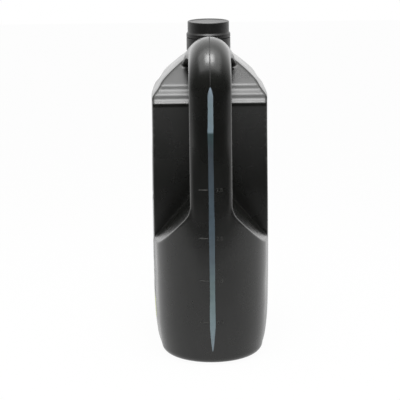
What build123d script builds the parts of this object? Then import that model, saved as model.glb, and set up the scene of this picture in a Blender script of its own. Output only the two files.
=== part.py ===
from build123d import *
import math
import os

# A one-handed five-quart jug for transmission fluid, in millimetres, +Z up.
# It stands on Z = 0 with the origin under its middle. The handle is at -Y, the
# neck is towards +Y, and the two broad faces look along -X and +X.

# Overall form
depth = 219.0
mid_width = 120.4
side_bow = 4.2
end_flare = 0.015
wall = 1.2
back_corner = 30.5
back_bulge = 3.0
corner_share = 0.8
base_round = 8.0
foot_width = 6.0
foot_steps = 4
push_up = 3.5

# Shoulder, from the top of the straight sides to the flat round the neck
shoulder_z = 248.3
shoulder_top_z = 294.0
shoulder_top_width = 45.0
shoulder_run = 1.1
dome_thinning = 0.25

# Handle: a D-shaped tube, straight up the front and arched back to the shoulder
handle_width = 41.7
handle_depth = 30.5
handle_front_radius = 29.5
handle_inner_round = 9.0
handle_edge_round = 6.0
handle_setback = 0.5
handle_root_z = 140.5
arch_z = 272.7
arch_radius = 48.8
saddle_radius = 111.0
saddle_angle = 45.0

# Grip: the hollows beside the handle and the finger gap behind it
finger_gap = 39.7
grip_inner_z = 154.5
grip_outer_z = 114.0
grip_round = 25.0
web_clearance = 0.5
web_top_z = 218.8
web_depth = 19.0
gap_floor_z = 152.6
gap_round = 11.0
wall_hollow = 7.5
hollow_share = 0.25
hollow_low_z = 168.0

# Steps and slope above the grip, on the front of the trunk
ledge_z = 254.4
ledge_steps = 2
step_run = 4.2
step_rise = 4.0
riser_run = 2.8
riser_rise = 5.0
step_round = 5.0
slope_run = 30.5
slope_top_z = 297.1

# Neck finish and closure
neck_y = 40.7
neck_height = 31.5
neck_sink = 8.0
neck_radius = 18.2
bore_radius = 16.5
collar_radius = 22.2
thread_height = 1.4
thread_root = 2.0
thread_crest = 1.0
thread_pitch = 4.2
thread_turns = 1.25
cap_thread_start = 0.3
cap_thread_turns = 1.2
thread_sink = 0.4
thread_play = 0.4
cap_drum_radius = 21.6
cap_ring_radius = 22.9
cap_drum_height = 11.0
cap_height = 16.4
cap_top = 2.0
cap_dish = 0.5
cap_rim = 2.4
cap_edge = 0.9
liner_thickness = 1.0
foil_thickness = 0.3
bridge_gap = 0.6
ring_height = 13.2
ring_wall = 1.8
bead_height = 2.4
bead_overlap = 1.0
bead_play = 0.4

# View stripe, fluid and label
stripe_width = 5.9
stripe_low_z = 17.3
stripe_high_z = 283.9
stripe_point = 9.0
fluid_level_z = 237.1
fluid_gap = 0.1
label_thickness = 0.4
label_low_z = 22.0
label_high_z = 200.0
label_margin = 5.3
label_back_y = 76.0
label_corner = 8.0

# Worked out from the sizes above
half_depth = depth / 2
end_width = mid_width - 2 * side_bow
total_height = shoulder_top_z + neck_height
handle_front_y = -half_depth + handle_setback
handle_back_y = handle_front_y + handle_depth
trunk_front_y = handle_back_y + finger_gap
wall_foot_y = trunk_front_y + wall_hollow
label_front_y = wall_foot_y + label_margin
arch_y = handle_front_y + arch_radius
arch_top_z = arch_z + arch_radius
cap_low_z = total_height - cap_height
rim_z = total_height - cap_top - liner_thickness - foil_thickness
thread_major = neck_radius + thread_height
cap_bore_radius = thread_major + thread_play
ring_top_z = cap_low_z - bridge_gap
ring_low_z = ring_top_z - ring_height
ring_bore_radius = cap_ring_radius - ring_wall
bead_radius = ring_bore_radius - bead_play
neck_axis = Axis((0, neck_y, 0), (0, 0, 1))
neck_section = Plane(origin=(0, neck_y, 0), x_dir=(1, 0, 0), z_dir=(0, -1, 0))
far = 2 * total_height
overrun = 1.0

# How far each level of the straight body draws in from its widest plan, as
# (height, all sides, front): it tapers to the foot, and above the grip floor the
# front leans back inside the handle.
body_levels = [
    (base_round, 4.2, 2.7),
    (24.0, 2.3, 1.1),
    (48.0, 0.7, 0.2),
    (90.0, 0.0, 0.0),
    (141.0, 0.1, 0.0),
    (178.0, 0.4, 2.0),
    (web_top_z, 0.7, 5.2),
    (shoulder_z, 0.9, 6.5),
]

# The shoulder as shares of its height and of its narrowing to the flat at the top
shoulder_levels = [
    (0.0, 0.0),
    (0.1, 0.03),
    (0.2, 0.09),
    (0.3, 0.17),
    (0.4, 0.27),
    (0.5, 0.37),
    (0.6, 0.46),
    (0.7, 0.57),
    (0.8, 0.7),
    (0.9, 0.84),
    (1.0, 1.0),
]


def plan(z, narrow, nose, inset):
    """Level outline of the jug: a round front, bowed broad sides and a round-cornered back."""
    end = end_width / 2 - narrow + end_flare * (min(z, shoulder_z) - grip_outer_z)
    middle = mid_width / 2 - narrow
    front = -half_depth + nose
    back = half_depth - shoulder_run * narrow
    end_y = front + end
    corner = min(back_corner, corner_share * end)
    with BuildSketch(Plane.XY.offset(z)) as outline:
        with BuildLine():
            ThreePointArc((-end, end_y), (0, front), (end, end_y))
            ThreePointArc((end, end_y), (middle, 0), (end, back - back_bulge))
            ThreePointArc((end, back - back_bulge), (0, back), (-end, back - back_bulge))
            ThreePointArc((-end, back - back_bulge), (-middle, 0), (-end, end_y))
        make_face()
        fillet(outline.vertices().group_by(Axis.Y)[-1], radius=corner)
        if inset:
            offset(amount=-inset)
    return outline.sketch


def bowed_walls(inset):
    """Body from the top of its rounded foot up to the shoulder."""
    with BuildPart() as walls:
        loft(sections=[plan(z, narrow, nose, inset) for z, narrow, nose in body_levels])
    return walls.part


def rounded_foot(inset, floor_z):
    """Quarter round from the floor up to the walls, with the push-up inside the foot ring."""
    top_z, narrow, nose = body_levels[0]
    sections = []
    for step in range(foot_steps + 1):
        turn = math.pi / 2 * step / foot_steps
        inward = (base_round - inset) * (1 - math.sin(turn))
        z = top_z - (top_z - floor_z) * math.cos(turn)
        sections.append(plan(z, narrow + inward, nose + inward, inset))
    inside_foot = base_round + foot_width
    panel = plan(0, narrow + inside_foot, nose + inside_foot, -inset)
    with BuildPart() as foot:
        loft(sections=sections)
        extrude(panel, amount=push_up + floor_z, mode=Mode.SUBTRACT)
    return foot.part


def shoulder(inset):
    """Dome that gathers the trunk in to the flat round the neck."""
    base_narrow = body_levels[-1][1]
    nose = body_levels[-1][2]
    rise = shoulder_top_z - shoulder_z
    gather = mid_width / 2 - base_narrow - shoulder_top_width / 2
    sections = []
    for up, inward in shoulder_levels:
        z = shoulder_z + up * rise - inset * inward ** dome_thinning
        sections.append(plan(z, base_narrow + inward * gather, nose, inset))
    with BuildPart() as dome:
        loft(sections=sections)
    return dome.part


def trunk_front(inset):
    """Space in front of the trunk, seen from the side: wall, two rounded steps, then a slope.

    The wall leans out in a long curve up to its lip, so the finger gap is widest low down.
    """
    curve_mid = (wall_foot_y - hollow_share * wall_hollow, (hollow_low_z + ledge_z) / 2)
    y = trunk_front_y
    z = ledge_z
    steps = [(y, z)]
    for _ in range(ledge_steps):
        steps.append((y + step_run, z + step_rise))
        y += step_run + riser_run
        z += step_rise + riser_rise
        steps.append((y, z))
    with BuildPart() as space:
        with BuildSketch(Plane.YZ) as side:
            with BuildLine():
                Polyline(*steps, (y + slope_run, slope_top_z), (y + slope_run, far),
                         (-far, far), (-far, -far), (wall_foot_y, -far), (wall_foot_y, hollow_low_z))
                ThreePointArc((wall_foot_y, hollow_low_z), curve_mid, steps[0])
            make_face()
            corners = side.vertices().filter_by_position(Axis.Y, ledge_z - overrun, z + overrun)
            fillet(corners, radius=step_round)
            if inset:
                offset(amount=inset, kind=Kind.INTERSECTION)
        extrude(amount=far, both=True)
    return space.part


def side_hollows(inset):
    """Space above the sloping grip floors, seen from the front, less the web under the handle."""
    inner = handle_width / 2 - web_clearance
    fall = (grip_inner_z - grip_outer_z) / (end_width / 2 - inner)
    low_z = grip_outer_z - fall * (far - end_width / 2)
    with BuildPart() as space:
        with BuildSketch(Plane.XZ) as front:
            with BuildLine():
                Polyline((-far, low_z), (-inner, grip_inner_z), (-inner, web_top_z), (inner, web_top_z),
                         (inner, grip_inner_z), (far, low_z), (far, far), (-far, far), close=True)
            make_face()
            roots = front.vertices().filter_by_position(
                Axis.Y, grip_inner_z - overrun, grip_inner_z + overrun)
            fillet(roots, radius=grip_round)
            if inset:
                offset(amount=inset, kind=Kind.INTERSECTION)
        extrude(amount=far, both=True)
    return space.part


def gap_floor(inset):
    """Finger gap down to its rounded floor, between the web and the trunk."""
    with BuildPart() as space:
        with BuildSketch(Plane.YZ) as side:
            with BuildLine():
                Polyline((handle_front_y + web_depth, gap_floor_z), (wall_foot_y, gap_floor_z),
                         (wall_foot_y, web_top_z + overrun),
                         (handle_front_y + web_depth, web_top_z + overrun), close=True)
            make_face()
            fillet(side.vertices().group_by(Axis.Y)[0], radius=gap_round)
            if inset:
                offset(amount=inset, kind=Kind.INTERSECTION)
        extrude(amount=far, both=True)
    return space.part


def handle_section(plane, inset):
    """D section of the handle: crowned outside, round-cornered on the finger side."""
    half = handle_width / 2 - inset
    crown_radius = handle_front_radius - inset
    crown = handle_front_radius - math.sqrt(crown_radius ** 2 - half ** 2)
    back = handle_depth - inset
    with BuildSketch(plane) as section:
        with BuildLine():
            ThreePointArc((-half, crown), (0, inset), (half, crown))
            Polyline((half, crown), (half, back), (-half, back), (-half, crown))
        make_face()
        corners = section.vertices().sort_by(Axis.Y)
        fillet(corners[2:], radius=handle_inner_round - inset)
        corners = section.vertices().sort_by(Axis.Y)
        fillet(corners[:2], radius=handle_edge_round - inset)
    return section.sketch


def handle(inset):
    """Handle tube: a straight grip, a round bend over the top and a saddle down to the neck."""
    grip_plane = Plane(origin=(0, handle_front_y, arch_z), x_dir=(1, 0, 0), z_dir=(0, 0, 1))
    saddle_plane = Plane(origin=(0, arch_y, arch_top_z), x_dir=(1, 0, 0), z_dir=(0, 1, 0))
    bend_axis = Axis((0, arch_y, arch_z), (-1, 0, 0))
    saddle_axis = Axis((0, arch_y, arch_top_z - saddle_radius), (-1, 0, 0))
    with BuildPart() as tube:
        extrude(handle_section(grip_plane, inset), amount=handle_root_z - arch_z)
        revolve(handle_section(grip_plane, inset), axis=bend_axis, revolution_arc=90)
        revolve(handle_section(saddle_plane, inset), axis=saddle_axis, revolution_arc=saddle_angle)
    return tube.part


def jug_form(inset, floor_z):
    """The jug as one closed form, drawn in all round by inset: 0 is its outside, wall its hollow."""
    with BuildPart() as form:
        add(rounded_foot(inset, floor_z))
        add(bowed_walls(inset))
        add(shoulder(inset))
        add(trunk_front(inset) & side_hollows(inset), mode=Mode.SUBTRACT)
        add(trunk_front(inset) & gap_floor(inset), mode=Mode.SUBTRACT)
        add(handle(inset))
    return form.part


def turned(points):
    """Solid turned about the neck axis from the half section through points (radius, height)."""
    with BuildPart() as piece:
        with BuildSketch(neck_section):
            with BuildLine():
                Polyline(*points, close=True)
            make_face()
        revolve(axis=neck_axis)
    return piece.part


def thread(root_radius, crest_radius, start_z, start_turn, turns):
    """Right-hand thread ridge from root_radius to crest_radius, sunk a little into its wall."""
    outward = 1 if crest_radius > root_radius else -1
    with BuildPart() as ridge:
        with BuildLine() as path:
            Helix(pitch=thread_pitch, height=turns * thread_pitch, radius=root_radius,
                  center=(0, neck_y, start_z))
        start = Plane(origin=path.line @ 0, x_dir=(1, 0, 0), z_dir=path.line % 0)
        height = abs(crest_radius - root_radius)
        with BuildSketch(start) as profile:
            with BuildLine():
                Polyline((-outward * thread_sink, -thread_root / 2), (0, -thread_root / 2),
                         (outward * height, -thread_crest / 2), (outward * height, thread_crest / 2),
                         (0, thread_root / 2), (-outward * thread_sink, thread_root / 2), close=True)
            make_face()
        sweep(sections=profile.sketch, path=path.line, is_frenet=True)
    return ridge.part.rotate(neck_axis, 360 * start_turn)


# Neck finish: a collar that the tamper ring sits on, a bead that keeps it, and the thread
bead_top_z = ring_top_z - bead_height
neck_low_z = shoulder_top_z - neck_sink
thread_z = cap_low_z + thread_root / 2 + thread_pitch / 2 + thread_play
neck_outside = turned([
    (0, neck_low_z), (collar_radius, neck_low_z), (collar_radius, ring_low_z),
    (neck_radius, ring_low_z), (neck_radius, bead_top_z - bead_height),
    (bead_radius, bead_top_z - bead_height), (neck_radius, bead_top_z),
    (neck_radius, rim_z), (0, rim_z)])
bore = turned([(0, neck_low_z - wall), (bore_radius, neck_low_z - wall), (bore_radius, rim_z), (0, rim_z)])

outside = jug_form(0, 0)
hollow = jug_form(wall, wall)

# View stripe: a clear strip let into the front wall, pointed at both ends
half_stripe = stripe_width / 2
with BuildPart() as stripe_cut:
    with BuildSketch(Plane.XZ.offset(half_depth + overrun)):
        with BuildLine():
            Polyline((0, stripe_low_z), (half_stripe, stripe_low_z + stripe_point),
                     (half_stripe, stripe_high_z - stripe_point), (0, stripe_high_z),
                     (-half_stripe, stripe_high_z - stripe_point),
                     (-half_stripe, stripe_low_z + stripe_point), close=True)
        make_face()
    extrude(amount=-handle_depth / 2)

with BuildPart() as jug_body:
    add(outside)
    add(neck_outside)
    add(thread(neck_radius, thread_major, thread_z, 0, thread_turns))
    add(hollow, mode=Mode.SUBTRACT)
    add(bore, mode=Mode.SUBTRACT)
    add(stripe_cut.part, mode=Mode.SUBTRACT)

with BuildPart() as view_stripe:
    add(stripe_cut.part)
    add(outside, mode=Mode.INTERSECT)
    add(hollow, mode=Mode.SUBTRACT)

# Fluid: fills the hollow to its level, resting on the floor of the jug
with BuildPart() as fluid:
    add(jug_form(wall + fluid_gap, wall))
    split(bisect_by=Plane.XY.offset(fluid_level_z), keep=Keep.BOTTOM)

# Screw cap: a narrow drum over a wider ring, dished on top. Its bore is cut with the
# thread left standing, half a pitch from the neck's thread.
drum_low_z = total_height - cap_drum_height
cap_ceiling_z = total_height - cap_top
cap_thread_z = thread_z + (cap_thread_start - 0.5) * thread_pitch
with BuildPart() as cap_bore:
    add(turned([(0, cap_low_z), (cap_bore_radius, cap_low_z),
                (cap_bore_radius, cap_ceiling_z), (0, cap_ceiling_z)]))
    add(thread(cap_bore_radius, cap_bore_radius - thread_height, cap_thread_z,
               cap_thread_start, cap_thread_turns), mode=Mode.SUBTRACT)

with BuildPart() as screw_cap:
    add(turned([
        (0, total_height - cap_dish), (cap_drum_radius - cap_rim, total_height - cap_dish),
        (cap_drum_radius - cap_rim + cap_dish, total_height), (cap_drum_radius - cap_edge, total_height),
        (cap_drum_radius, total_height - cap_edge), (cap_drum_radius, drum_low_z),
        (cap_ring_radius, drum_low_z - cap_edge), (cap_ring_radius, cap_low_z + cap_edge / 2),
        (cap_ring_radius - cap_edge / 2, cap_low_z), (0, cap_low_z)]))
    add(cap_bore.part, mode=Mode.SUBTRACT)

with BuildPart() as cap_liner:
    add(turned([(0, rim_z + foil_thickness), (cap_bore_radius - thread_play, rim_z + foil_thickness),
                (cap_bore_radius - thread_play, cap_ceiling_z), (0, cap_ceiling_z)]))

with BuildPart() as foil_seal:
    add(turned([(0, rim_z), (neck_radius, rim_z), (neck_radius, rim_z + foil_thickness),
                (0, rim_z + foil_thickness)]))

# Tamper ring: stays on the neck, its inner bead caught under the neck's bead
catch_top_z = bead_top_z - bead_height - bead_play
catch_radius = bead_radius - bead_overlap
with BuildPart() as tamper_ring:
    add(turned([
        (ring_bore_radius, ring_low_z), (cap_ring_radius - cap_edge / 2, ring_low_z),
        (cap_ring_radius, ring_low_z + cap_edge / 2), (cap_ring_radius, ring_top_z - cap_edge / 2),
        (cap_ring_radius - cap_edge / 2, ring_top_z), (ring_bore_radius, ring_top_z),
        (ring_bore_radius, catch_top_z), (catch_radius, catch_top_z),
        (catch_radius, catch_top_z - bead_height / 2),
        (ring_bore_radius, catch_top_z - bead_height)]))

# Label: a film on the -X face that follows the bow of the wall
with BuildPart() as side_label:
    add(bowed_walls(-label_thickness))
    with BuildSketch(Plane.YZ):
        with Locations(((label_front_y + label_back_y) / 2, (label_low_z + label_high_z) / 2)):
            RectangleRounded(label_back_y - label_front_y, label_high_z - label_low_z, label_corner)
    extrude(amount=-mid_width, mode=Mode.INTERSECT)
    add(bowed_walls(0), mode=Mode.SUBTRACT)

os.makedirs("parts", exist_ok=True)
pieces = {
    "jug_body": jug_body,
    "view_stripe": view_stripe,
    "fluid": fluid,
    "screw_cap": screw_cap,
    "cap_liner": cap_liner,
    "foil_seal": foil_seal,
    "tamper_ring": tamper_ring,
    "side_label": side_label,
}
for name, piece in pieces.items():
    piece.part.label = name
    export_step(piece.part, f"parts/{name}.step")
    print(name, len(piece.part.solids()), round(piece.part.volume), "mm3")
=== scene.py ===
# %% [markdown]
# # A five-quart jug for transmission fluid
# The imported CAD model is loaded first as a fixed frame. Everything modelled here
# is in metres in that same frame: +Z up, the handle towards -Y, the neck towards
# +Y. A few sizes of the real jug are repeated below, because this file reads
# nothing but the frame.

# %% Load the frame
import bpy
import math
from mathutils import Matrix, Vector


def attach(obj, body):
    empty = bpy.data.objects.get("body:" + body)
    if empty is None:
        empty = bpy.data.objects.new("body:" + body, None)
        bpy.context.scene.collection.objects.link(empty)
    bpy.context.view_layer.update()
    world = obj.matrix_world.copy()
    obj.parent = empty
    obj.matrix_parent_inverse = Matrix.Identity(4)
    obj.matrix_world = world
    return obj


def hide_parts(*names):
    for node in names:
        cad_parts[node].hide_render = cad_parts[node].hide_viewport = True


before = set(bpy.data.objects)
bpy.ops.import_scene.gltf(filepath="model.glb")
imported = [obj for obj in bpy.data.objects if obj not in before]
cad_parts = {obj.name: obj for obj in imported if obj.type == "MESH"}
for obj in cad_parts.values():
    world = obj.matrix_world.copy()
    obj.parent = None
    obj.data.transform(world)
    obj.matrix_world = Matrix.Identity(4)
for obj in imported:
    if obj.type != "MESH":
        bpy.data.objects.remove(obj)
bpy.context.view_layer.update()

# %% Small helpers for every piece
MM = 0.001


def nothing_selected():
    if bpy.context.object and bpy.context.object.mode != "OBJECT":
        bpy.ops.object.mode_set(mode="OBJECT")
    bpy.ops.object.select_all(action="DESELECT")


def only(piece):
    nothing_selected()
    piece.select_set(True)
    bpy.context.view_layer.objects.active = piece


def named(name):
    """Takes the object that an operator has just made, and names it and its mesh."""
    piece = bpy.context.object
    piece.name = name
    piece.data.name = name
    return piece


def settle(piece):
    """Applies a piece's place, turn and size, so that they are all in its mesh."""
    only(piece)
    bpy.ops.object.transform_apply(location=True, rotation=True, scale=True)


def modify(piece, kind, **settings):
    """Adds one modifier, sets it and applies it."""
    only(piece)
    step = piece.modifiers.new(kind.lower(), kind)
    for key, value in settings.items():
        setattr(step, key, value)
    bpy.ops.object.modifier_apply(modifier=step.name)


def outward(piece):
    """Merges doubles, clears what is loose and turns every face to the outside."""
    only(piece)
    bpy.ops.object.mode_set(mode="EDIT")
    bpy.ops.mesh.select_all(action="SELECT")
    bpy.ops.mesh.remove_doubles(threshold=0.00001)
    bpy.ops.mesh.delete_loose(use_verts=True, use_edges=True, use_faces=False)
    bpy.ops.mesh.select_all(action="SELECT")
    bpy.ops.mesh.normals_make_consistent(inside=False)
    bpy.ops.object.mode_set(mode="OBJECT")


def smooth(piece, degrees=None):
    only(piece)
    if degrees is None:
        bpy.ops.object.shade_smooth()
    else:
        bpy.ops.object.shade_smooth_by_angle(angle=math.radians(degrees))


def triangles(piece):
    piece.data.calc_loop_triangles()
    return len(piece.data.loop_triangles)


def twin(piece, name):
    """A copy with its own mesh."""
    only(piece)
    bpy.ops.object.duplicate()
    return named(name)


def joined(pieces, name):
    """Makes one piece of several; the first gives its modifiers and materials."""
    nothing_selected()
    for piece in pieces:
        piece.select_set(True)
    bpy.context.view_layer.objects.active = pieces[0]
    bpy.ops.object.join()
    return named(name)


# %% [markdown]
# The jug is blow moulded, so its form is a few smooth tubes melted together. Each
# tube is drawn as a stack of closed outlines: a filled circle is extruded once for
# each outline, and then every ring of vertices is laid onto its own outline. That
# keeps full control of the section, which a cube with bevels wouldn't.

# %% A tube through a stack of outlines


def ring_place(x, y, count):
    """Which of count even places round a circle the point (x, y) has.

    A circle's points may lie up to three quarters of a step past the places, so the share
    is cut down to a whole number, with a tenth added against rounding.
    """
    return math.floor(math.atan2(y, x) / math.tau * count + 0.1) % count


def skin_through(name, outlines):
    """Closed tube through outlines, each a list of the same number of (x, y, z) in mm."""
    count = len(outlines[0])
    nothing_selected()
    bpy.ops.mesh.primitive_circle_add(vertices=count, radius=1, fill_type="NGON")
    piece = named(name)
    bpy.ops.object.mode_set(mode="EDIT")
    for _ in outlines[1:]:
        bpy.ops.mesh.extrude_region_move(TRANSFORM_OT_translate={"value": (0, 0, 1)})
    bpy.ops.object.mode_set(mode="OBJECT")
    for vertex in piece.data.vertices:
        x, y, z = vertex.co
        vertex.co = Vector(outlines[round(z)][ring_place(x, y, count)]) * MM
    outward(piece)
    return piece


def rounded(corners, radii, steps=10):
    """Points of a polygon whose corners are rounded by tangent arcs."""
    points = []
    count = len(corners)
    for index, corner in enumerate(corners):
        here = Vector(corner)
        before = (Vector(corners[index - 1]) - here).normalized()
        after = (Vector(corners[(index + 1) % count]) - here).normalized()
        radius = radii[index]
        if radius == 0:
            points.append(tuple(here))
            continue
        half = before.angle(after) / 2
        reach = radius / math.tan(half)
        middle = here + (before + after).normalized() * radius / math.sin(half)
        start = here + before * reach - middle
        end = here + after * reach - middle
        turn = start.angle_signed(end)
        for step in range(steps + 1):
            angle = -turn * step / steps
            c, s = math.cos(angle), math.sin(angle)
            points.append((middle.x + start.x * c - start.y * s, middle.y + start.x * s + start.y * c))
    return points


def between(rows, steps):
    """More rows on a smooth curve through the given rows of numbers."""
    more = []
    for i in range(len(rows) - 1):
        four = (rows[max(i - 1, 0)], rows[i], rows[i + 1], rows[min(i + 2, len(rows) - 1)])
        for k in range(steps):
            t = k / steps
            more.append(tuple(0.5 * (2 * b + (c - a) * t + (2 * a - 5 * b + 4 * c - d) * t * t
                                     + (3 * b - a - 3 * c + d) * t ** 3) for a, b, c, d in zip(*four)))
    more.append(rows[-1])
    return more


# %% [markdown]
# The body's level outline has a half-round front under the handle, broad sides that
# bow out a little so that the label lies well, and a flatter back with round corners.

# %% Body outlines, from the foot to the flat round the neck
HALF_DEPTH = 109.0
HALF_MIDDLE = 60.2
# half the width where the front and back begin, which grows with the height
HALF_END, HALF_END_Z, END_GROWTH = 56.0, 112.0, 0.015
BACK_BOW = 3.0
BACK_SHRINK = 1.1
BACK_CORNER, CORNER_SHARE = 30.5, 0.8
# how far from the corner its curve starts, and how far its handles reach, as shares
CORNER_START, CORNER_PULL = 0.803, 0.58
SHOULDER_Z = 252.5
SHOULDER_TOP_Z = 294.0
SHOULDER_TILT, TILT_END_Y = 0.06, 50.0
COLLAR_EDGE = 22.5
BASE_ROUND = 8.0
# drawn in all round and at the front, at the top of the foot and of the wall
FOOT_IN = (2.7, 2.4)
TOP_IN = (0.9, 6.5)


def arc(a, b, c, steps):
    """Points on the arc from a through b to c, without the last one."""
    ax, ay, bx, by, cx, cy = *a, *b, *c
    d = 2 * (ax * (by - cy) + bx * (cy - ay) + cx * (ay - by))
    ux = ((ax**2 + ay**2) * (by - cy) + (bx**2 + by**2) * (cy - ay) + (cx**2 + cy**2) * (ay - by)) / d
    uy = ((ax**2 + ay**2) * (cx - bx) + (bx**2 + by**2) * (ax - cx) + (cx**2 + cy**2) * (bx - ax)) / d
    centre = Vector((ux, uy))
    start, middle, end = (Vector(p) - centre for p in (a, b, c))
    turn = start.angle_signed(middle) + middle.angle_signed(end)
    points = []
    for step in range(steps):
        angle = -turn * step / steps
        cosine, sine = math.cos(angle), math.sin(angle)
        points.append((ux + start.x * cosine - start.y * sine, uy + start.x * sine + start.y * cosine))
    return points


def evenly(points, count):
    """So many of the points, the first and the last among them."""
    return [points[round(i * (len(points) - 1) / (count - 1))] for i in range(count)]


def body_outline(z, narrow, nose):
    """The level outline, drawn in all round by narrow and at the front by nose."""
    end = HALF_END - narrow + END_GROWTH * (min(z, SHOULDER_Z) - HALF_END_Z)
    middle = HALF_MIDDLE - narrow
    front = -HALF_DEPTH + nose
    back = HALF_DEPTH - BACK_SHRINK * narrow
    meeting = (end, back - BACK_BOW)
    corner = min(BACK_CORNER, CORNER_SHARE * end) * CORNER_START
    # half of the outline, from the front middle round by +X to the back middle
    nose_arc = arc((-end, front + end), (0, front), (end, front + end), 60)[30:]
    side = arc((end, front + end), (middle, 0), meeting, 200)
    rear = arc(meeting, (0, back), (-end, back - BACK_BOW), 100)[:51]
    side = evenly([p for p in side if math.dist(p, meeting) > corner], 25)
    rear = evenly([p for p in rear if math.dist(p, meeting) > corner], 10)
    lead_in = (Vector(side[-1]) - Vector(side[-2])).normalized() * corner * CORNER_PULL
    lead_out = (Vector(rear[0]) - Vector(rear[1])).normalized() * corner * CORNER_PULL
    p0, p3 = Vector(side[-1]), Vector(rear[0])
    p1, p2 = p0 + lead_in, p3 + lead_out
    bend = []
    for step in range(1, 14):
        t = step / 14
        bend.append(tuple(p0 * (1 - t)**3 + p1 * 3 * t * (1 - t)**2 + p2 * 3 * t * t * (1 - t) + p3 * t**3))
    half = nose_arc + side + bend + rear
    other = [(-x, y) for x, y in half[-2:0:-1]]
    return [(x, y, z) for x, y in half + other]


# (height, drawn in all round, drawn in at the front)
wall_rows = between([(BASE_ROUND, *FOOT_IN), (24.0, 1.1, 0.8), (48.0, 0.35, 0.1), (90.0, 0.0, 0.0), (141.0, 0.1, 0.0),
                     (178.0, 0.4, 2.0), (218.8, 0.7, 5.2), (248.3, *TOP_IN)], 5)
# (share of the shoulder's height, share of the way in to the collar)
dome_rows = between([(0.0, 0.0), (0.1, 0.06), (0.2, 0.15), (0.3, 0.22), (0.4, 0.28), (0.5, 0.37), (0.6, 0.48),
                     (0.7, 0.6), (0.8, 0.73), (0.9, 0.865), (1.0, 1.0)], 3)
# the pushed-up base comes first, from its middle outwards
foot_rows = [(3.5, 19.5, 18.0), (3.3, 18.4, 16.9), (0.4, 17.6, 16.1), (0.0, 16.6, 15.1)]
foot_steps = 6
for step in range(foot_steps + 1):
    turn = math.pi / 2 * step / foot_steps
    drawn = BASE_ROUND * (1 - math.sin(turn))
    foot_rows.append((BASE_ROUND * (1 - math.cos(turn)), *(inward + drawn for inward in FOOT_IN)))
levels = foot_rows + wall_rows[1:]
outlines = [body_outline(*row) for row in levels]
gather = HALF_MIDDLE - TOP_IN[0] - COLLAR_EDGE
for up, inward in dome_rows:
    ring = body_outline(SHOULDER_Z + up * (SHOULDER_TOP_Z - SHOULDER_Z), TOP_IN[0] + inward * gather, TOP_IN[1])
    outlines.append([(x, y, z + SHOULDER_TILT * (1 - up) * max(0.0, TILT_END_Y - y)) for x, y, z in ring])
body = skin_through("body", outlines)
print("body", triangles(body), "triangles")

# %% [markdown]
# Beside the handle the body is scooped away so that a gloved hand fits. The scoop is
# where two long prisms cross: one has the trunk's stepped front as its side view, the
# other the sloping grip floors as its front view. A third prism opens the finger gap
# behind the grip and rounds its floor.

# %% Scoops beside and behind the handle
HANDLE_FRONT_Y = -109.0
TRUNK_FRONT_Y = -38.8
WALL_HOLLOW = 7.5
LIP_Z = 251.6
# half the width of the grip's foot, and the height of the floors there and at the sides
FLOOR_INNER_X, FLOOR_INNER_Z, FLOOR_OUTER_Z, FLOOR_ROUND = 20.35, 154.5, 114.0, 25.0
GAP_FRONT_Y, GAP_FLOOR_Z, GAP_ROUND = HANDLE_FRONT_Y + 19, 152.6, 11.0
BRIDGE_Z = 218.8
FAR = 400.0


def prism(name, points, axis):
    """A polygon of (across, up) made into a long bar along X or Y."""
    if axis == "X":
        rings = [[(side * FAR, y, z) for y, z in points] for side in (-1, 1)]
    else:
        rings = [[(x, side * FAR, z) for x, z in points] for side in (-1, 1)]
    return skin_through(name, rings)


def combine(piece, tool, operation):
    modify(piece, "BOOLEAN", operation=operation, object=tool, solver="EXACT")
    bpy.data.objects.remove(tool)


wall_foot = (TRUNK_FRONT_Y + WALL_HOLLOW, 168.0)
y, z = TRUNK_FRONT_Y, LIP_Z
stairs = [(y, z)]
for _ in range(2):
    stairs.append((y + 4.2, z + 4.0))
    y, z = y + 7.0, z + 8.6
    stairs.append((y, z))
wall_curve = arc(wall_foot, (wall_foot[0] - 1.9, 211.2), stairs[0], 16)
slope_end = (y + 30.5, 297.1)
side_view = [(-FAR, -FAR), (wall_foot[0], -FAR), *wall_curve, *stairs, slope_end, (slope_end[0], FAR), (-FAR, FAR)]
scoop = prism("scoop", rounded(side_view, [0] * 18 + [3.5, 4, 4, 4, 5, 0, 0, 0]), "X")
fall = (FLOOR_INNER_Z - FLOOR_OUTER_Z) / (HALF_END - FLOOR_INNER_X)
low = FLOOR_OUTER_Z - fall * (FAR - HALF_END)
front_view = [(-FAR, low), (-FLOOR_INNER_X, FLOOR_INNER_Z), (-FLOOR_INNER_X, BRIDGE_Z), (FLOOR_INNER_X, BRIDGE_Z),
              (FLOOR_INNER_X, FLOOR_INNER_Z), (FAR, low), (FAR, FAR), (-FAR, FAR)]
gap_top_z = BRIDGE_Z + 1
gap_view = [(GAP_FRONT_Y, GAP_FLOOR_Z), (wall_foot[0], GAP_FLOOR_Z), (wall_foot[0], gap_top_z),
            (GAP_FRONT_Y, gap_top_z)]
gap = prism("gap", rounded(gap_view, [GAP_ROUND, GAP_ROUND, 0, 0]), "X")
combine(gap, twin(scoop, "scoop_again"), "INTERSECT")
hollows = prism("hollows", rounded(front_view, [0, FLOOR_ROUND, 0, 0, FLOOR_ROUND, 0, 0, 0]), "Y")
combine(scoop, hollows, "INTERSECT")
combine(body, scoop, "DIFFERENCE")
combine(body, gap, "DIFFERENCE")
print("scooped body", triangles(body), "triangles")

# %% [markdown]
# The handle is a D-shaped tube: crowned where the palm presses, flatter on the finger
# side. Its outlines run down the straight grip, round the bend and along the saddle.

# %% Handle tube
ARCH_Z = 272.7
ARCH_RADIUS = 48.8
SADDLE_RADIUS = 111.0
GRIP_LOW_Z = 140.5
HALF_GRIP, GRIP_DEPTH = 20.85, 30.5
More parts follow.
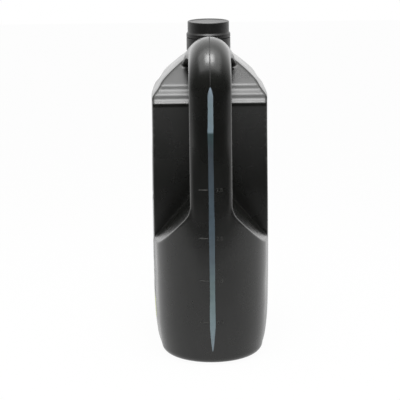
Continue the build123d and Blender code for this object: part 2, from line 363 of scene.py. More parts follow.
# the crown is flattest at the grip's foot, and reaches its full curve in the upper grip
CROWN_RADIUS, FLATTER_BY, FLAT_Z, CROWNED_Z = 29.5, 26.0, 148.0, 225.0
FRONT_ROUND, BACK_ROUND = 6.0, 9.0
SADDLE_TURN, SADDLE_FLARE, SADDLE_THIN = math.radians(45), 8.0, 0.3


def d_section(share, crown_radius=CROWN_RADIUS):
    """(across, in from the front) points, from the D of the grip at 0 to the arch's half round at 1."""
    crown = crown_radius - math.sqrt(crown_radius**2 - HALF_GRIP**2)
    flat = arc((-HALF_GRIP, crown), (0, 0), (HALF_GRIP, crown), 40)[20:37]
    flat += rounded([flat[-1], (HALF_GRIP, crown), (HALF_GRIP, 22)], [0, FRONT_ROUND, 0], 8)[1:-1]
    bent = []
    for k in range(len(flat)):
        turn = math.pi / 2 * k / len(flat)
        bent.append((HALF_GRIP * math.sin(turn), HALF_GRIP * (1 - math.cos(turn))))
    half = [(a[0] * (1 - share) + b[0] * share, a[1] * (1 - share) + b[1] * share) for a, b in zip(flat, bent)]
    half += rounded([(HALF_GRIP, 20), (HALF_GRIP, GRIP_DEPTH), (0, GRIP_DEPTH)], [0, BACK_ROUND, 0], 14)[1:]
    return half + [(-x, y) for x, y in half[-2:0:-1]]


def eased(value, low, high):
    """From 0 at low to 1 at high, level at both."""
    share = min(1.0, max(0.0, (value - low) / (high - low)))
    return share * share * (3 - 2 * share)


arch_y = HANDLE_FRONT_Y + ARCH_RADIUS
rings = []
grip_steps, bend_steps, saddle_steps = 18, 30, 20
for k in range(grip_steps):
    z = GRIP_LOW_Z + (ARCH_Z - GRIP_LOW_Z) * k / grip_steps
    flatter = CROWN_RADIUS + FLATTER_BY * (1 - eased(z, FLAT_Z, CROWNED_Z))
    rings.append([(x, HANDLE_FRONT_Y + d, z) for x, d in d_section(0, flatter)])
for k in range(bend_steps + 1):
    turn = math.pi / 2 * k / bend_steps
    rings.append([(x, arch_y - (ARCH_RADIUS - d) * math.cos(turn), ARCH_Z + (ARCH_RADIUS - d) * math.sin(turn))
                  for x, d in d_section(eased(k, 2, 24))])
saddle_z = ARCH_Z + ARCH_RADIUS - SADDLE_RADIUS
for k in range(1, saddle_steps + 1):
    turn = SADDLE_TURN * k / saddle_steps
    flare = SADDLE_FLARE * eased(k, 1, 16) / HALF_GRIP / GRIP_DEPTH
    thin = 1 - SADDLE_THIN * eased(k, 0, 12)
    ring = []
    for x, d in d_section(1):
        reach = SADDLE_RADIUS - d * thin
        ring.append((x * (1 + flare * d), arch_y + reach * math.sin(turn), saddle_z + reach * math.cos(turn)))
    rings.append(ring)
handle = skin_through("handle", rings)
print("handle", triangles(handle), "triangles")

# %% [markdown]
# A parison of soft plastic has no sharp inside corners. The body and the handle are
# joined and voxel remeshed into one skin, which is then smoothed, so that each edge
# and each joint gets the small radius that blowing leaves.

# %% One skin from body and handle
SKIN_TRIANGLES = 186000
shell = joined([body, handle], "jug_shell")
modify(shell, "REMESH", mode="VOXEL", voxel_size=1.0 * MM)
modify(shell, "SMOOTH", factor=0.5, iterations=9)
print("skin", triangles(shell), "triangles")
if triangles(shell) > SKIN_TRIANGLES:
    modify(shell, "DECIMATE", ratio=SKIN_TRIANGLES / triangles(shell))
outward(shell)
smooth(shell)
print("jug_shell", triangles(shell), "triangles", [tuple(round(c, 4) for c in shell.dimensions)])

# %% [markdown]
# Where the two halves of the mould meet, the plastic squeezes out into a fine raised
# line. It runs round the jug in the middle plane, a little unevenly, apart from the neck
# and the front below the stripe's tip. A thin slice of the skin itself, thickened
# outwards, follows every curve without being drawn again.

# %% Parting line
STRIPE_LOW_Z, STRIPE_HIGH_Z = 13.6, 280.4
NECK_Y = 40.7
HALF_LINE = 0.4


def slice_off(piece, point, normal):
    """Cuts the piece by a plane and throws away what lies on the normal's side."""
    only(piece)
    bpy.ops.object.mode_set(mode="EDIT")
    bpy.ops.mesh.select_all(action="SELECT")
    bpy.ops.mesh.bisect(plane_co=point, plane_no=normal, clear_outer=True)
    bpy.ops.object.mode_set(mode="OBJECT")


def remove_faces(piece, unwanted):
    """Deletes the faces that the test picks out."""
    only(piece)
    bpy.ops.object.mode_set(mode="EDIT")
    bpy.ops.mesh.select_all(action="DESELECT")
    bpy.ops.object.mode_set(mode="OBJECT")
    for face in piece.data.polygons:
        face.select = unwanted(face)
    bpy.ops.object.mode_set(mode="EDIT")
    bpy.ops.mesh.select_mode(type="FACE")
    bpy.ops.mesh.delete(type="FACE")
    bpy.ops.mesh.select_mode(type="VERT")
    bpy.ops.object.mode_set(mode="OBJECT")


def off_the_line(face):
    """Where no line shows: down the front, in the collar and under the base."""
    c = face.center
    down_the_front = c.y < -0.085 and c.z < STRIPE_HIGH_Z * MM
    in_the_collar = math.hypot(c.x, c.y - NECK_Y * MM) < COLLAR_EDGE * MM and c.z > 0.28
    return down_the_front or in_the_collar or c.z < 0.0009


parting = twin(shell, "parting_line")
slice_off(parting, (HALF_LINE * MM, 0, 0), (1, 0, 0))
slice_off(parting, (-HALF_LINE * MM, 0, 0), (-1, 0, 0))
remove_faces(parting, off_the_line)
only(parting)
bpy.ops.object.mode_set(mode="EDIT")
bpy.ops.mesh.select_all(action="SELECT")
bpy.ops.transform.vertex_random(offset=0.12 * MM, uniform=1.0, seed=4)
bpy.ops.object.mode_set(mode="OBJECT")
modify(parting, "SOLIDIFY", thickness=0.8 * MM, offset=-0.2)
outward(parting)
smooth(parting, 50)
print("parting_line", triangles(parting), "triangles")

# %% [markdown]
# The view stripe is a strip of clear plastic let into the black wall while the tube of
# plastic is made, so it lies flush and its edges wander a little. A fine grid is shaped
# to the stripe's outline and shrinkwrapped to the skin, a hair's breadth proud.

# %% View stripe
STRIPE_HALF_WIDTH = 2.75
STRIPE_TIP, STRIPE_POINT = 9.0, 26.0


def wrap_to_skin(piece, lift, method="NEAREST_SURFACEPOINT", **settings):
    modify(piece, "SHRINKWRAP", target=shell, wrap_method=method, wrap_mode="ABOVE_SURFACE",
           offset=lift * MM, **settings)


def stripe_half_width(z):
    """Half of the stripe's width in mm at a height: a blunt tip above, a long point below."""
    wander = 0.12 * math.sin(z / 17) + 0.08 * math.sin(z / 7.3 + 1)
    top = min(1.0, max(0.0, (STRIPE_HIGH_Z - z) / STRIPE_TIP)) ** 0.6
    foot = min(1.0, max(0.0, (z - STRIPE_LOW_Z) / STRIPE_POINT)) ** 0.62
    return (STRIPE_HALF_WIDTH + wander) * min(top, foot) + 0.04


nothing_selected()
bpy.ops.mesh.primitive_grid_add(x_subdivisions=8, y_subdivisions=240, size=2)
stripe = named("clear_stripe")
for vertex in stripe.data.vertices:
    u, v, _ = vertex.co
    z = STRIPE_LOW_Z + (STRIPE_HIGH_Z - STRIPE_LOW_Z) * (v + 1) / 2
    front = HANDLE_FRONT_Y - 2 if z < ARCH_Z else arch_y - math.sqrt(ARCH_RADIUS**2 - (z - ARCH_Z) ** 2) - 2
    lean = 0.35 * math.sin(z / 60)
    vertex.co = Vector((u * stripe_half_width(z) + lean * (z < 240), front, z)) * MM
wrap_to_skin(stripe, 0.12)
modify(stripe, "SOLIDIFY", thickness=0.6 * MM, offset=-1)
outward(stripe)
modify(stripe, "BEVEL", width=0.1 * MM, segments=2, limit_method="ANGLE", angle_limit=math.radians(50))
smooth(stripe, 40)
print("clear_stripe", triangles(stripe), "triangles", [round(c, 4) for c in stripe.dimensions])

# %% [markdown]
# Four short raised bars beside the stripe mark whole quarts, and a small raised figure
# gives each in litres. They are cut into the mould, so they are the jug's own plastic;
# the light on their edges is painted in, as a base far paler than the black.

# %% Level bars
MARKS = {"0.9": 44.6, "1.9": 87.5, "2.8": 130.8, "3.8": 179.3}
BAR_X, BAR_LENGTH, BAR_HEIGHT, BAR_LIFT = -7.8, 8.8, 1.05, 0.42
FIGURE_X, FIGURE_SIZE, FIGURE_LIFT = 4.4, 5.6, 0.35
bars = []
for z in MARKS.values():
    nothing_selected()
    bpy.ops.mesh.primitive_grid_add(x_subdivisions=24, y_subdivisions=4, size=1)
    bar = named("level_bar")
    bar.scale = (BAR_LENGTH * MM, BAR_HEIGHT * MM, 1)
    bar.rotation_euler = (math.pi / 2, 0, 0)
    bar.location = (BAR_X * MM, -0.114, z * MM)
    settle(bar)
    wrap_to_skin(bar, BAR_LIFT, "PROJECT", use_project_y=True, use_project_z=False, use_positive_direction=True)
    modify(bar, "SOLIDIFY", thickness=0.8 * MM, offset=-1)
    outward(bar)
    modify(bar, "BEVEL", width=0.32 * MM, segments=3, limit_method="ANGLE", angle_limit=math.radians(50))
    bars.append(bar)
level_bars = joined(bars, "level_bars")
smooth(level_bars, 40)

# %% Figures in litres
figures = []
for figure, z in MARKS.items():
    nothing_selected()
    bpy.ops.object.text_add(location=(FIGURE_X * MM, -0.116, (z - 2.1) * MM), rotation=(math.pi / 2, 0, 0))
    text = bpy.context.object
    text.data.body = figure
    text.data.size = FIGURE_SIZE * MM
    text.data.offset = -0.03 * MM
    text.data.resolution_u = 4
    bpy.ops.object.convert(target="MESH")
    digit = named("figure")
    settle(digit)
    figures.append(digit)
level_figures = joined(figures, "level_figures")
only(level_figures)
bpy.ops.object.mode_set(mode="EDIT")
bpy.ops.mesh.select_all(action="SELECT")
bpy.ops.mesh.quads_convert_to_tris()
bpy.ops.mesh.subdivide(number_cuts=2)
bpy.ops.mesh.remove_doubles(threshold=0.00001)
bpy.ops.object.mode_set(mode="OBJECT")
wrap_to_skin(level_figures, FIGURE_LIFT, "PROJECT", use_project_y=True, use_project_z=False,
             use_positive_direction=True)
modify(level_figures, "SOLIDIFY", thickness=0.7 * MM, offset=-1)
modify(level_figures, "REMESH", mode="VOXEL", voxel_size=0.14 * MM)
outward(level_figures)
smooth(level_figures, 40)
print("level_figures", triangles(level_figures), "triangles")

# %% [markdown]
# Everything at the neck is round about one upright axis: a half section is drawn as a
# closed loop of points and spun once round. Corners are rounded in the section itself,
# so each rim catches a fine line of light, as moulded edges do.

# %% Turned pieces and threads
THREAD_PITCH = 4.2


def turned(name, section, steps=128):
    """Spins a closed loop of (radius, height) points in mm round the neck axis."""
    nothing_selected()
    bpy.ops.mesh.primitive_circle_add(vertices=len(section), radius=1, fill_type="NOTHING")
    piece = named(name)
    for vertex in piece.data.vertices:
        radius, height = section[ring_place(vertex.co.x, vertex.co.y, len(section))]
        vertex.co = Vector((radius, NECK_Y, height)) * MM
    bpy.ops.object.mode_set(mode="EDIT")
    bpy.ops.mesh.select_all(action="SELECT")
    bpy.ops.mesh.spin(steps=steps, angle=math.tau, center=(0, NECK_Y * MM, 0), axis=(0, 0, 1))
    bpy.ops.mesh.select_all(action="SELECT")
    bpy.ops.mesh.remove_doubles(threshold=0.000005)
    bpy.ops.mesh.delete_loose(use_verts=True, use_edges=True, use_faces=False)
    bpy.ops.mesh.select_all(action="SELECT")
    bpy.ops.mesh.dissolve_degenerate(threshold=0.000001)
    bpy.ops.mesh.normals_make_consistent(inside=False)
    bpy.ops.object.mode_set(mode="OBJECT")
    smooth(piece, 42)
    return piece


def ridge(name, root, crest, start_z, start_turn, turns):
    """Right-hand thread that swells from nothing at each end."""
    out = 1 if crest > root else -1
    rings = []
    count = round(72 * turns)  # one ring for each five degrees
    for step in range(count + 1):
        share = step / count
        swell = min(1.0, share / 0.12, (1 - share) / 0.12) ** 0.5 * 0.98 + 0.02
        high = root + (crest - root) * swell
        turn = math.tau * (start_turn + turns * share)
        z = start_z + THREAD_PITCH * turns * share
        profile = [(root - out * 0.4, -0.98), (root, -0.95), ((root + 3 * high) / 4, -0.62), (high, -0.38),
                   (high, 0.38), ((root + 3 * high) / 4, 0.62), (root, 0.95), (root - out * 0.4, 0.98)]
        rings.append([(r * math.cos(turn), NECK_Y + r * math.sin(turn), z + up) for r, up in profile])
    piece = skin_through(name, rings)
    smooth(piece, 42)
    return piece


# %% Neck finish: collar, bead, thread and open rim
NECK_BORE, NECK_RADIUS, COLLAR_RADIUS, COLLAR_Z, RIM_Z = 16.5, 18.2, 22.2, 295.3, 322.2
neck = turned("neck_finish", rounded(
    [(NECK_BORE, 284.8), (COLLAR_RADIUS, 284.8), (COLLAR_RADIUS, COLLAR_Z), (NECK_RADIUS, COLLAR_Z),
     (NECK_RADIUS, 303.7), (20.7, 303.7), (NECK_RADIUS, 306.1), (NECK_RADIUS, RIM_Z), (NECK_BORE, RIM_Z)],
    [0, 0, 0.8, 0.6, 0.4, 0.4, 0.5, 0.5, 0.5], 6))
neck_thread = ridge("neck_thread", NECK_RADIUS, 19.6, 312.6, 0, 1.25)
neck = joined([neck, neck_thread], "neck_finish")
print("neck_finish", triangles(neck), "triangles")

# %% [markdown]
# The cap has two diameters: a smooth drum to grip and a wider ring below it. It is
# moulded hollow, with its own thread between the turns of the neck's.

# %% Screw cap and its tamper ring
TOP_Z, DRUM_RADIUS, RING_RADIUS = 325.5, 21.6, 22.9
CAP_BORE, CAP_INSIDE_Z, CAP_LOW_Z = 20.0, 323.5, 309.1
BAND_TOP_Z, BAND_BORE, CATCH_RADIUS = 308.5, 21.1, 19.7
NIBS = 16
cap = turned("ribless_cap", rounded(
    [(0, TOP_Z - 0.5), (18.9, TOP_Z - 0.5), (19.5, TOP_Z), (DRUM_RADIUS, TOP_Z), (DRUM_RADIUS, 314.5),
     (RING_RADIUS, 312.7), (RING_RADIUS, CAP_LOW_Z), (CAP_BORE, CAP_LOW_Z), (CAP_BORE, CAP_INSIDE_Z),
     (0, CAP_INSIDE_Z)],
    [0, 0.5, 0.3, 0.75, 0.5, 0.45, 0.45, 0.3, 0.6, 0], 6))
cap_thread = ridge("cap_thread", CAP_BORE, 18.6, 311.76, 0.3, 1.2)
cap = joined([cap, cap_thread], "screw_cap_skin")
band = turned("tamper_band", rounded(
    [(BAND_BORE, COLLAR_Z), (RING_RADIUS, COLLAR_Z), (RING_RADIUS, BAND_TOP_Z), (BAND_BORE, BAND_TOP_Z),
     (BAND_BORE, 303.3), (CATCH_RADIUS, 303.3), (CATCH_RADIUS, 302.1), (BAND_BORE, 300.9)],
    [0.3, 0.45, 0.55, 0.2, 0.2, 0.3, 0.3, 0.3], 6))
nibs = []
for count in range(NIBS):
    nothing_selected()
    bpy.ops.mesh.primitive_cone_add(vertices=10, radius1=0.55 * MM, radius2=0.3 * MM, depth=0.75 * MM)
    nib = named("nib")
    turn = math.tau * (count + 0.5) / NIBS
    nib.location = (22 * MM * math.cos(turn), (NECK_Y + 22 * math.sin(turn)) * MM, (BAND_TOP_Z + 0.12) * MM)
    settle(nib)
    nibs.append(nib)
band = joined([band] + nibs, "tamper_band")
smooth(band, 42)
print("screw_cap_skin", triangles(cap), "tamper_band", triangles(band), "triangles")

# %% [markdown]
# Under the cap are the foam liner that stays in it, with its pressed ring, and the
# foil that seals the neck, with the slight crinkle of heat sealing.

# %% Liner and foil
liner = turned("foam_liner", rounded(
    [(0, 322.56), (15.6, 322.56), (16.2, 322.75), (17.8, 322.75), (18.4, 322.5), (19.55, 322.5),
     (19.55, CAP_INSIDE_Z), (0, CAP_INSIDE_Z)],
    [0, 0.3, 0.3, 0.3, 0.3, 0.2, 0.2, 0], 4), 96)
foil = turned("foil_disc", rounded(
    [(0, RIM_Z), (NECK_RADIUS, RIM_Z), (NECK_RADIUS, 322.44), (16.9, 322.44), (16.2, 322.36), (0, 322.36)],
    [0, 0.1, 0.1, 0.1, 0.2, 0], 4), 96)

# %% [markdown]
# The label is a printed film on one broad side. Rings of a rounded rectangle are wrapped
# to the skin and given a film's thickness, so that it bends with the wall.

# %% Side label
(LEFT, RIGHT), (LOW, HIGH), LABEL_ROUND, GRID = (-26.0, 76.0), (22.0, 200.0), 8.0, 4.0
corners = rounded([(LEFT, LOW), (RIGHT, LOW), (RIGHT, HIGH), (LEFT, HIGH)], [LABEL_ROUND] * 4, 12)
outline = []
for here, after in zip(corners, corners[1:] + corners[:1]):
    pieces = max(1, round(math.dist(here, after) / GRID))
    outline += [(here[0] + (after[0] - here[0]) * k / pieces, here[1] + (after[1] - here[1]) * k / pieces)
                for k in range(pieces)]
centre_y, centre_z = (LEFT + RIGHT) / 2, (LOW + HIGH) / 2
rings = []
for share in [1, 0.995, 0.97] + [1 - k / 26 for k in range(2, 26)]:
    rings.append([(-70, centre_y + (py - centre_y) * share, centre_z + (pz - centre_z) * share) for py, pz in outline])
label = skin_through("film_label", rings)
# the outermost outline also closes the tube, with one face that would cut through the bowed wall
largest = max(face.area for face in label.data.polygons)
remove_faces(label, lambda face: face.area == largest)
inwards = -1 if label.data.polygons[0].normal.x < 0 else 1
wrap_to_skin(label, 0.12, "PROJECT", use_project_x=True, use_project_z=False, use_positive_direction=True)
modify(label, "SOLIDIFY", thickness=0.25 * MM, offset=inwards)
outward(label)
smooth(label, 40)
print("film_label", triangles(label), "triangles", [round(c, 4) for c in label.dimensions])

# %% [markdown]
# Every finish is mixed from a few shared effects. Moulded plastic has a fine orange
# peel over slow waves left by uneven cooling. Handling adds soft smudges and hairline
# scuffs, which change how rough the surface looks rather than its colour.

# %% Shared effects as node groups


def new_group(name, inputs, outputs):
    """An empty node group with float or vector inputs and float or colour outputs."""
    group = bpy.data.node_groups.new(name, "ShaderNodeTree")
    for title, kind, value in inputs:
        socket = group.interface.new_socket(name=title, in_out="INPUT", socket_type=kind)
        if value is not None:
            socket.default_value = value
    for title, kind in outputs:
        group.interface.new_socket(name=title, in_out="OUTPUT", socket_type=kind)
    return group, group.nodes.new("NodeGroupInput"), group.nodes.new("NodeGroupOutput")


def wired(tree, kind, sockets=None, **settings):
    """A node with its settings made and its sockets set to values or linked to other sockets."""
    node = tree.nodes.new(kind)
    for key, value in settings.items():
        setattr(node, key, value)
    for key, value in (sockets or {}).items():
        if isinstance(value, bpy.types.NodeSocket):
            tree.links.new(value, node.inputs[key])
        else:
            node.inputs[key].default_value = value
    return node


def noise(tree, vector, scale, detail=3.0, rough=0.5):
    return wired(tree, "ShaderNodeTexNoise", {"Vector": vector, "Scale": scale, "Detail": detail,
                                              "Roughness": rough}).outputs["Fac"]


def spread(tree, value, low, high, to_low=0.0, to_high=1.0):
    return wired(tree, "ShaderNodeMapRange", {"Value": value, "From Min": low, "From Max": high, "To Min": to_low,
                                              "To Max": to_high}).outputs["Result"]


def maths(tree, operation, a, b=0.0):
    return wired(tree, "ShaderNodeMath", {0: a, 1: b}, operation=operation).outputs[0]


peel, come, go = new_group("moulded_peel", [
    ("Vector", "NodeSocketVector", None), ("Peel Scale", "NodeSocketFloat", 700.0),
    ("Peel Depth", "NodeSocketFloat", 0.2), ("Wave Scale", "NodeSocketFloat", 40.0),
    ("Wave Depth", "NodeSocketFloat", 1.0)], [("Height", "NodeSocketFloat")])
grain = maths(peel, "MULTIPLY", noise(peel, come.outputs["Vector"], come.outputs["Peel Scale"], 2.0),
              come.outputs["Peel Depth"])
waves = maths(peel, "MULTIPLY", noise(peel, come.outputs["Vector"], come.outputs["Wave Scale"], 1.0),
              come.outputs["Wave Depth"])
peel.links.new(maths(peel, "ADD", grain, waves), go.inputs["Height"])

handled, come, go = new_group("handling", [
    ("Vector", "NodeSocketVector", None), ("Roughness", "NodeSocketFloat", 0.35), ("Smudge", "NodeSocketFloat", 0.06),
    ("Scuff", "NodeSocketFloat", 0.15)], [("Roughness", "NodeSocketFloat"), ("Scuffs", "NodeSocketFloat")])
smudges = spread(handled, noise(handled, come.outputs["Vector"], 22.0, 4.0, 0.6), 0.35, 0.65, -1.0, 1.0)
fine = wired(handled, "ShaderNodeMapping", {"Vector": come.outputs["Vector"], "Rotation": (0.5, 0.9, 0.3),
                                            "Scale": (1.0, 14.0, 1.6)}).outputs[0]
hairs = spread(handled, noise(handled, fine, 160.0, 2.0, 0.5), 0.68, 0.76)
patches = spread(handled, noise(handled, come.outputs["Vector"], 15.0, 2.0), 0.5, 0.7)
scuffs = maths(handled, "MULTIPLY", hairs, patches)
total = maths(handled, "ADD", come.outputs["Roughness"], maths(handled, "MULTIPLY", smudges, come.outputs["Smudge"]))
total = maths(handled, "ADD", total, maths(handled, "MULTIPLY", scuffs, come.outputs["Scuff"]))
handled.links.new(total, go.inputs["Roughness"])
handled.links.new(scuffs, go.inputs["Scuffs"])

# %% [markdown]
# A finish starts as an empty material with one Principled shader. Its pattern is laid
# on Object coordinates, which stay with the piece when it moves.

# %% Starting a finish


def finish_named(name, roughness, ior=1.5, **sockets):
    """A material, its tree, its Principled shader and its Object coordinates."""
    material = bpy.data.materials.new(name)
    material.use_nodes = True
    tree = material.node_tree
    tree.nodes.clear()
    shader = tree.nodes.new("ShaderNodeBsdfPrincipled")
    out = tree.nodes.new("ShaderNodeOutputMaterial")
    tree.links.new(shader.outputs[0], out.inputs[0])
    shader.inputs["Roughness"].default_value = roughness
    shader.inputs["IOR"].default_value = ior
    for key, value in sockets.items():
        shader.inputs[key].default_value = value
    return material, tree, shader, tree.nodes.new("ShaderNodeTexCoord").outputs["Object"]


def use(tree, group, **sockets):
    """A node group at work in a tree; an underscore stands for a space in a socket's name."""
    node = wired(tree, "ShaderNodeGroup", node_tree=group)
    for key, value in sockets.items():
        key = key.replace("_", " ")
        if isinstance(value, bpy.types.NodeSocket):
            tree.links.new(value, node.inputs[key])
        else:
            node.inputs[key].default_value = value
    return node


def raise_by(tree, shader, height, distance, strength=1.0):
    bump = wired(tree, "ShaderNodeBump", {"Height": height, "Distance": distance, "Strength": strength})
    tree.links.new(bump.outputs[0], shader.inputs["Normal"])


def ramp(tree, value, stops, interpolation="LINEAR"):
    """A colour ramp through (place, colour) stops."""
    node = wired(tree, "ShaderNodeValToRGB", {"Fac": value})
    node.color_ramp.interpolation = interpolation
    while len(node.color_ramp.elements) < len(stops):
        node.color_ramp.elements.new(1.0)
    for element, (place, colour) in zip(node.color_ramp.elements, stops):
        element.position = place
        element.color = (*colour, 1)
    return node.outputs[0]


def mixed(tree, share, first, second):
    """A colour mixed from two; the numbers are the Mix node's colour sockets."""
    node = wired(tree, "ShaderNodeMix", data_type="RGBA")
    for index, value in ((0, share), (6, first), (7, second)):
        if isinstance(value, bpy.types.NodeSocket):
            tree.links.new(value, node.inputs[index])
        else:
            node.inputs[index].default_value = value if index == 0 else (*value, 1)
    return node.outputs[2]


# %% Black jug plastic
jug_plastic, tree, shader, place = finish_named("jug_plastic", 0.34, 1.52)
grip = use(tree, handled, Vector=place, Roughness=0.27, Smudge=0.04, Scuff=0.12)
flow = wired(tree, "ShaderNodeMapping", {"Vector": place, "Scale": (1.0, 1.0, 0.12)}).outputs[0]
streaks = spread(tree, noise(tree, flow, 60.0, 3.0), 0.35, 0.65)
black = mixed(tree, streaks, (0.0085, 0.009, 0.008), (0.0115, 0.012, 0.0105))
black = mixed(tree, maths(tree, "MULTIPLY", grip.outputs["Scuffs"], 0.35), black, (0.09, 0.09, 0.085))
tree.links.new(black, shader.inputs["Base Color"])
tree.links.new(grip.outputs["Roughness"], shader.inputs["Roughness"])
skin_height = use(tree, peel, Vector=place, Peel_Scale=620.0, Peel_Depth=0.05, Wave_Scale=38.0, Wave_Depth=0.8)
raise_by(tree, shader, skin_height.outputs["Height"], 0.0004, 0.36)

# %% Level marks' plastic, painted paler as a highlight, and the parting line's seam plastic
marks_painted_highlight, tree, shader, place = finish_named("marks_plastic_painted_highlight", 0.6, 1.5)
# The marks' base is far paler than the jug's black: a painted highlight for the light their raised edges catch,
# mottled at random.
painted_highlight_mottle = spread(tree, noise(tree, place, 420.0, 3.0), 0.35, 0.65)
tree.links.new(mixed(tree, painted_highlight_mottle, (0.035, 0.036, 0.033), (0.085, 0.086, 0.08)), shader.inputs["Base Color"])
tree.links.new(spread(tree, noise(tree, place, 90.0, 2.0), 0.3, 0.7, 0.5, 0.66), shader.inputs["Roughness"])
seam_plastic, tree, shader, place = finish_named("seam_plastic", 0.62, 1.5)
tree.links.new(mixed(tree, noise(tree, place, 200.0, 3.0), (0.006, 0.006, 0.006), (0.014, 0.014, 0.013)),
               shader.inputs["Base Color"])
tree.links.new(spread(tree, noise(tree, place, 90.0, 2.0), 0.3, 0.7, 0.55, 0.7), shader.inputs["Roughness"])

# %% Cap plastic
cap_plastic, tree, shader, place = finish_named("cap_plastic", 0.4, 1.47)
grip = use(tree, handled, Vector=place, Roughness=0.4, Smudge=0.04, Scuff=0.15)
black = mixed(tree, maths(tree, "MULTIPLY", grip.outputs["Scuffs"], 0.5), (0.009, 0.009, 0.0085), (0.07, 0.07, 0.07))
tree.links.new(black, shader.inputs["Base Color"])
tree.links.new(grip.outputs["Roughness"], shader.inputs["Roughness"])
skin_height = use(tree, peel, Vector=place, Peel_Scale=1500.0, Peel_Depth=0.25, Wave_Scale=90.0, Wave_Depth=0.2)
raise_by(tree, shader, skin_height.outputs["Height"], 0.0001, 0.6)

# %% [markdown]
# The clear stripe shows the air space as a pale blue grey and the oil below its level
# as a dark slate, which grows lighter towards the foot. The ramp's stops are
# given as (height in mm, colour).

# %% Clear stripe
RAMP_TOP_Z = 300
clear_plastic, tree, shader, place = finish_named("clear_plastic", 0.3, 1.5)
height = wired(tree, "ShaderNodeSeparateXYZ", {0: place}).outputs["Z"]
depth_colours = [(14, (0.28, 0.35, 0.40)), (44, (0.245, 0.335, 0.365)), (75, (0.18, 0.255, 0.265)),
                 (110, (0.13, 0.175, 0.21)), (150, (0.098, 0.14, 0.175)), (190, (0.095, 0.127, 0.155)),
                 (215, (0.08, 0.098, 0.118)), (234.8, (0.062, 0.108, 0.112)), (236.4, (0.30, 0.40, 0.46)),
                 (262, (0.31, 0.41, 0.455)), (284, (0.34, 0.41, 0.5))]
share = spread(tree, height, 0.0, RAMP_TOP_Z * MM)
level = ramp(tree, share, [(z / RAMP_TOP_Z, colour) for z, colour in depth_colours])
cloud = spread(tree, noise(tree, place, 130.0, 3.0), 0.3, 0.7, 0.92, 1.08)
shade = wired(tree, "ShaderNodeHueSaturation", {"Color": level, "Value": cloud}).outputs[0]
tree.links.new(shade, shader.inputs["Base Color"])
skin_height = use(tree, peel, Vector=place, Peel_Scale=620.0, Peel_Depth=0.05, Wave_Scale=60.0, Wave_Depth=0.6)
raise_by(tree, shader, skin_height.outputs["Height"], 0.0003, 0.5)

# %% Oil, liner foam and foil
oil, tree, shader, place = finish_named("fluid", 0.08, 1.47)
tree.links.new(mixed(tree, noise(tree, place, 12.0), (0.25, 0.012, 0.012), (0.33, 0.02, 0.02)),
               shader.inputs["Base Color"])

foam, tree, shader, place = finish_named("liner_foam", 0.75, 1.45)
tree.links.new(mixed(tree, noise(tree, place, 700.0), (0.76, 0.76, 0.73), (0.86, 0.86, 0.84)),
               shader.inputs["Base Color"])
raise_by(tree, shader, noise(tree, place, 1300.0, 2.0), 0.00008)

foil_finish, tree, shader, place = finish_named("foil", 0.25, 1.5, Metallic=1.0)
cells = wired(tree, "ShaderNodeTexVoronoi", {"Vector": place, "Scale": 420.0}, feature="SMOOTH_F1")
crinkle = cells.outputs["Distance"]
tree.links.new(mixed(tree, crinkle, (0.78, 0.78, 0.8), (0.88, 0.88, 0.9)), shader.inputs["Base Color"])
tree.links.new(spread(tree, noise(tree, place, 260.0), 0.3, 0.7, 0.18, 0.36), shader.inputs["Roughness"])
raise_by(tree, shader, crinkle, 0.0003, 0.6)

# %% [markdown]
# The label's print is left as plain fields of colour: a dark ground, a broad slanted
# band with a thin rule above it, a pale panel and a yellow-green field along the bottom.

# %% Label film
label_film, tree, shader, place = finish_named("label_film", 0.3, 1.5)
axes = wired(tree, "ShaderNodeSeparateXYZ", {0: place})
along, up = axes.outputs["Y"], axes.outputs["Z"]
slant = maths(tree, "ADD", up, maths(tree, "MULTIPLY", along, 0.42))
ground = ramp(tree, spread(tree, up, 0.02, 0.2), [(0.0, (0.035, 0.037, 0.042)), (0.6, (0.06, 0.063, 0.07)),
                                                  (1.0, (0.022, 0.024, 0.028))])
bands = ramp(tree, spread(tree, slant, 0.0, 0.25), [
    (0.0, (0, 0, 0)), (0.40, (1, 1, 1)), (0.56, (0, 0, 0)), (0.585, (1, 1, 1)), (0.60, (0, 0, 0))], "CONSTANT")
art = mixed(tree, bands, ground, (0.52, 0.53, 0.55))
low_field = ramp(tree, spread(tree, maths(tree, "SUBTRACT", up, maths(tree, "MULTIPLY", along, 0.1)), 0.0, 0.2),
                 [(0.0, (1, 1, 1)), (0.235, (0, 0, 0))], "CONSTANT")
art = mixed(tree, low_field, art, (0.46, 0.52, 0.13))
panel = ramp(tree, spread(tree, up, 0.0, 0.2), [(0.0, (0, 0, 0)), (0.30, (1, 1, 1)), (0.41, (0, 0, 0))],
             "CONSTANT")
inside = ramp(tree, spread(tree, along, -0.04, 0.08), [(0.0, (0, 0, 0)), (0.2, (1, 1, 1)), (0.86, (0, 0, 0))],
              "CONSTANT")
art = mixed(tree, maths(tree, "MULTIPLY", panel, inside), art, (0.68, 0.69, 0.67))
grip = use(tree, handled, Vector=place, Roughness=0.28, Smudge=0.05, Scuff=0.2)
art = mixed(tree, maths(tree, "MULTIPLY", grip.outputs["Scuffs"], 0.3), art, (0.5, 0.5, 0.5))
tree.links.new(art, shader.inputs["Base Color"])
tree.links.new(grip.outputs["Roughness"], shader.inputs["Roughness"])
skin_height = use(tree, peel, Vector=place, Peel_Scale=900.0, Peel_Depth=0.05, Wave_Scale=25.0, Wave_Depth=0.9)
raise_by(tree, shader, skin_height.outputs["Height"], 0.0003, 0.4)

# %% [markdown]
# Each piece now gets its finish, and rides on the body that carries it.

# %% Dress the jug


def dress(piece, material, body_name):
    piece.data.materials.clear()
    piece.data.materials.append(material)
    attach(piece, body_name)


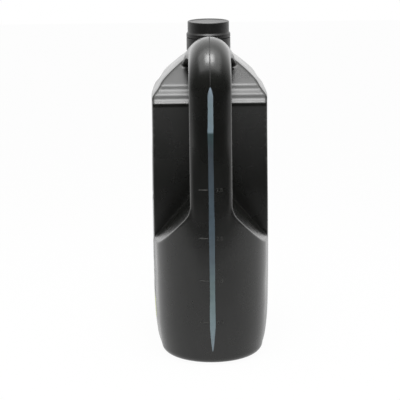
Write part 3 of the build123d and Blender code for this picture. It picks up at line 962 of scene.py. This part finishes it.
for piece, finish in ((shell, jug_plastic), (neck, jug_plastic), (parting, seam_plastic),
                      (level_bars, marks_painted_highlight), (level_figures, marks_painted_highlight)):
    dress(piece, finish, "jug")
dress(stripe, clear_plastic, "jug")
dress(band, cap_plastic, "jug")
dress(foil, foil_finish, "jug")
dress(label, label_film, "jug")
dress(cap, cap_plastic, "cap")
dress(liner, foam, "cap_carrier")
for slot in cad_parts["fluid"].material_slots:
    slot.material = oil
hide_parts("jug_body")
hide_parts("view_stripe")
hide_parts("screw_cap")
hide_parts("cap_liner")
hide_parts("foil_seal")
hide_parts("tamper_ring")
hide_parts("side_label")

# %% [markdown]
# The jug stands on a pale sweep in a studio that is bright behind the jug and dark
# behind the camera. Black plastic shows mostly reflections, so the light is large and
# soft: a small and a broad panel overhead, and the bright ground that lights the edges.

# %% Floor


def show_white(tree, surface, share):
    """Mixes a surface with plain white as seen and mirrored, so that the shadow stays faint."""
    path = tree.nodes.new("ShaderNodeLightPath")
    glow = wired(tree, "ShaderNodeEmission", {"Color": (1, 1, 1, 1), "Strength": 1.0})
    seen = maths(tree, "MAXIMUM", path.outputs["Is Camera Ray"], path.outputs["Is Glossy Ray"])
    mix = wired(tree, "ShaderNodeMixShader", {0: maths(tree, "MULTIPLY", seen, share)})
    tree.links.new(surface, mix.inputs[1])
    tree.links.new(glow.outputs[0], mix.inputs[2])
    return mix.outputs[0]


nothing_selected()
bpy.ops.mesh.primitive_plane_add(size=1)
floor = named("sweep")
floor.scale = (3.4, 3.2, 1)
floor.location = (0, 1.09, -0.0005)
settle(floor)
paper = bpy.data.materials.new("sweep_paper")
paper.use_nodes = True
tree = paper.node_tree
shader = tree.nodes["Principled BSDF"]
shader.inputs["Roughness"].default_value = 0.9
place = tree.nodes.new("ShaderNodeTexCoord").outputs["Object"]
tree.links.new(mixed(tree, noise(tree, place, 30.0), (0.80, 0.80, 0.80), (0.84, 0.84, 0.83)),
               shader.inputs["Base Color"])
tree.links.new(show_white(tree, shader.outputs[0], 0.96), tree.nodes["Material Output"].inputs[0])
floor.data.materials.append(paper)

# %% World
world = bpy.data.worlds.new("studio")
bpy.context.scene.world = world
world.use_nodes = True
tree = world.node_tree
tree.nodes.clear()
way = wired(tree, "ShaderNodeSeparateXYZ", {0: tree.nodes.new("ShaderNodeTexCoord").outputs["Generated"]}).outputs["Y"]
studio = spread(tree, way, -0.35, 0.75, 0.04, 1.5)
path = tree.nodes.new("ShaderNodeLightPath")
seen = maths(tree, "MAXIMUM", path.outputs["Is Camera Ray"], path.outputs["Is Transmission Ray"])
dim = wired(tree, "ShaderNodeBackground", {"Color": (1, 1, 1, 1), "Strength": studio})
white = wired(tree, "ShaderNodeBackground", {"Color": (1, 1, 1, 1), "Strength": 1.0})
mix = wired(tree, "ShaderNodeMixShader", {0: seen})
tree.links.new(dim.outputs[0], mix.inputs[1])
tree.links.new(white.outputs[0], mix.inputs[2])
out = tree.nodes.new("ShaderNodeOutputWorld")
tree.links.new(mix.outputs[0], out.inputs[0])

# %% Lamps


def panel_lamp(name, where, aim, width, length, power):
    nothing_selected()
    bpy.ops.object.light_add(type="AREA", location=where)
    lamp = bpy.context.object
    lamp.name = name
    lamp.data.shape = "RECTANGLE"
    lamp.data.size, lamp.data.size_y = width, length
    lamp.data.energy = power
    lamp.rotation_euler = (Vector(aim) - Vector(where)).to_track_quat("-Z", "Y").to_euler()
    lamp.visible_camera = False


panel_lamp("overhead_core", (0, -0.18, 0.70), (0, -0.14, 0.2), 0.24, 0.16, 1.75)
panel_lamp("overhead_panel", (0, -0.20, 0.82), (0, -0.10, 0.2), 1.0, 0.62, 4.4)

# %% [markdown]
# The photograph was taken with a long lens from a little above, aimed a touch to the
# left of the jug's middle.

# %% Camera
bpy.ops.object.camera_add(location=(-0.0135, -1.583, 0.523),
                          rotation=(math.radians(76.52), math.radians(0.65), math.radians(-0.253)))
camera = bpy.context.object
camera.name = "photo_camera"
camera.data.sensor_width = 36
camera.data.lens = 140.5
camera.data.dof.use_dof = False
bpy.context.scene.camera = camera
bpy.context.scene.view_settings.view_transform = "Standard"
